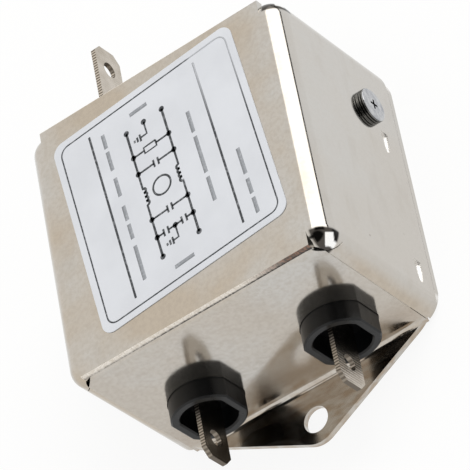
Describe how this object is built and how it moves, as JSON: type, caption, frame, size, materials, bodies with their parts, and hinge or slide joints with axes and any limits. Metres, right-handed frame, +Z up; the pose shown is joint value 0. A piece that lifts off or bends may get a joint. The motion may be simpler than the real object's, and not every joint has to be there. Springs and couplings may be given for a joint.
{
  "type": "emi line filter",
  "caption": "Mains line filter in a folded plated steel case with screw ears, tab terminals in black bushings, an earth screw and a schematic label on top.",
  "frame": {"origin": "midway between the two mounting holes, on the underside", "axes": "+Z up from the mounting panel, +Y from the front tabs to the rear tabs, +X to the side with the earth screw"},
  "size_m": [0.0502, 0.071, 0.0301],
  "materials": {
    "plated_steel": "satin",
    "label_film": "matt printed",
    "black_nylon": "moulded",
    "tinned_brass": "tin plated",
    "zinc_steel": "zinc plated",
    "fibre_sheet": "matt",
    "nylon": "moulded",
    "board_laminate": "laminate",
    "ferrite": "coated",
    "enamelled_copper": "enamelled",
    "film_case": "moulded",
    "disc_coating": "dipped",
    "resistor_coating": "lacquered",
    "wire_sleeve": "extruded"
  },
  "bodies": {
    "root": {"case_cover": "plated_steel", "chassis": "plated_steel", "bottom_plate": "plated_steel", "rating_label": "label_film", "front_left_bushing": "black_nylon", "front_left_tab": "tinned_brass", "front_left_lead": "wire_sleeve", "front_right_bushing": "black_nylon", "front_right_tab": "tinned_brass", "front_right_lead": "wire_sleeve", "rear_left_bushing": "black_nylon", "rear_left_tab": "tinned_brass", "rear_left_lead": "wire_sleeve", "rear_right_bushing": "black_nylon", "rear_right_tab": "tinned_brass", "rear_right_lead": "wire_sleeve", "earth_tab": "tinned_brass", "earth_screw": "zinc_steel", "spring_washer": "zinc_steel", "flat_washer": "zinc_steel", "earth_lug": "tinned_brass", "earth_nut": "zinc_steel", "earth_lead": "wire_sleeve", "bond_lead": "wire_sleeve", "insulating_liner": "fibre_sheet", "board_posts": "nylon", "circuit_board": "board_laminate", "choke_core": "ferrite", "choke_winding_line": "enamelled_copper", "choke_winding_neutral": "enamelled_copper", "choke_divider": "nylon", "input_film_capacitor": "film_case", "output_film_capacitor": "film_case", "line_disc_capacitor": "disc_coating", "neutral_disc_capacitor": "disc_coating", "bleed_resistor": "resistor_coating"}
  },
  "joints": []
}
